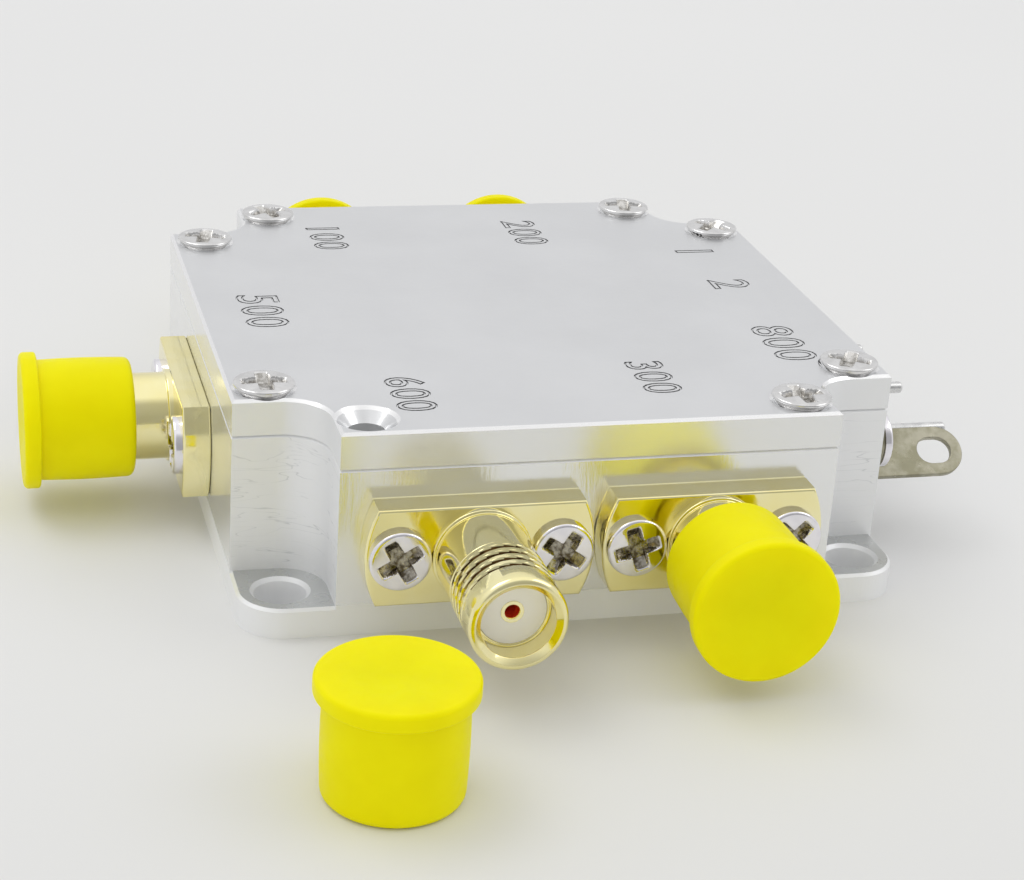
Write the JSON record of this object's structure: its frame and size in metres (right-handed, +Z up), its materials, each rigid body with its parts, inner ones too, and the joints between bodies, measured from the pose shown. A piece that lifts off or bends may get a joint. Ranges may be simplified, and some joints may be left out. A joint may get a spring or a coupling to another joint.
{
  "type": "coaxial switch module",
  "caption": "Milled metal case with a screwed notched lid, flanged coaxial jacks with push-on dust caps, wire feedthroughs, a ground lug and four mounting ears.",
  "frame": {"origin": "centre of the underside of the housing", "axes": "+Z up out of the lid, -Y towards jacks 3 and 4, -X towards the common jack, +X towards the feedthroughs and the ground lug"},
  "size_m": [0.0671, 0.0823, 0.0149],
  "materials": {
    "milled_aluminium": "bright milled, fine tool marks",
    "lid_aluminium": "satin, silver anodised, bright edges",
    "nickel_steel": "bright nickel plate",
    "gold_plate": "polished pale gold plate",
    "insulator_white": "smooth fluoropolymer",
    "contact_gold": "gold plate",
    "cap_yellow": "satin moulded polyethylene",
    "tinned_brass": "dull tin over brass",
    "bush_nickel": "nickel plate",
    "seal_white": "glazed seal",
    "pin_tinned": "tinned wire",
    "board_green": "solder mask",
    "board_gold": "gold over copper",
    "solder": "bright solder",
    "chip_black": "moulded epoxy",
    "capacitor_tan": "chip ceramic",
    "resistor_black": "glass-coated film"
  },
  "bodies": {
    "module": {"housing": "milled_aluminium", "lid": "lid_aluminium", "lid_screws": "nickel_steel", "ground_lug": "tinned_brass", "lug_screw": "nickel_steel", "circuit_board": "board_green", "board_screws": "nickel_steel", "copper_tracks": "board_gold", "solder_joints": "solder", "switch_chip": "chip_black", "regulator": "chip_black", "bypass_capacitors": "capacitor_tan", "resistors": "resistor_black", "jack_shell_1": "gold_plate", "jack_shell_2": "gold_plate", "jack_shell_3": "gold_plate", "jack_shell_4": "gold_plate", "jack_shell_common": "gold_plate", "jack_insulator_1": "insulator_white", "jack_insulator_2": "insulator_white", "jack_insulator_3": "insulator_white", "jack_insulator_4": "insulator_white", "jack_insulator_common": "insulator_white", "jack_contact_1": "contact_gold", "jack_contact_2": "contact_gold", "jack_contact_3": "contact_gold", "jack_contact_4": "contact_gold", "jack_contact_common": "contact_gold", "jack_screws_1": "nickel_steel", "jack_screws_2": "nickel_steel", "jack_screws_3": "nickel_steel", "jack_screws_4": "nickel_steel", "jack_screws_common": "nickel_steel", "blocking_capacitor_1": "capacitor_tan", "blocking_capacitor_2": "capacitor_tan", "blocking_capacitor_3": "capacitor_tan", "blocking_capacitor_4": "capacitor_tan", "blocking_capacitor_common": "capacitor_tan", "feedthrough_bush_1": "bush_nickel", "feedthrough_bush_2": "bush_nickel", "feedthrough_bush_3": "bush_nickel", "feedthrough_seal_1": "seal_white", "feedthrough_seal_2": "seal_white", "feedthrough_seal_3": "seal_white", "feedthrough_pin_1": "pin_tinned", "feedthrough_pin_2": "pin_tinned", "feedthrough_pin_3": "pin_tinned"},
    "cap_1": {"dust_cap_1": "cap_yellow"},
    "cap_2": {"dust_cap_2": "cap_yellow"},
    "cap_3": {"dust_cap_3": "cap_yellow"},
    "cap_common": {"dust_cap_common": "cap_yellow"},
    "cap_loose": {"dust_cap_4": "cap_yellow"}
  },
  "joints": [
    {"name": "cap_1_pull", "type": "slide", "parent": "module", "child": "cap_1", "axis": [0, 1, 0], "range_m": [0, 0.01]},
    {"name": "cap_2_pull", "type": "slide", "parent": "module", "child": "cap_2", "axis": [0, 1, 0], "range_m": [0, 0.01]},
    {"name": "cap_3_pull", "type": "slide", "parent": "module", "child": "cap_3", "axis": [0, -1, 0], "range_m": [0, 0.01]},
    {"name": "cap_common_pull", "type": "slide", "parent": "module", "child": "cap_common", "axis": [-1, 0, 0], "range_m": [0, 0.01]},
    {"name": "cap_loose_lift", "type": "slide", "parent": "module", "child": "cap_loose", "axis": [0, 0, 1], "range_m": [0, 0.012]}
  ]
}
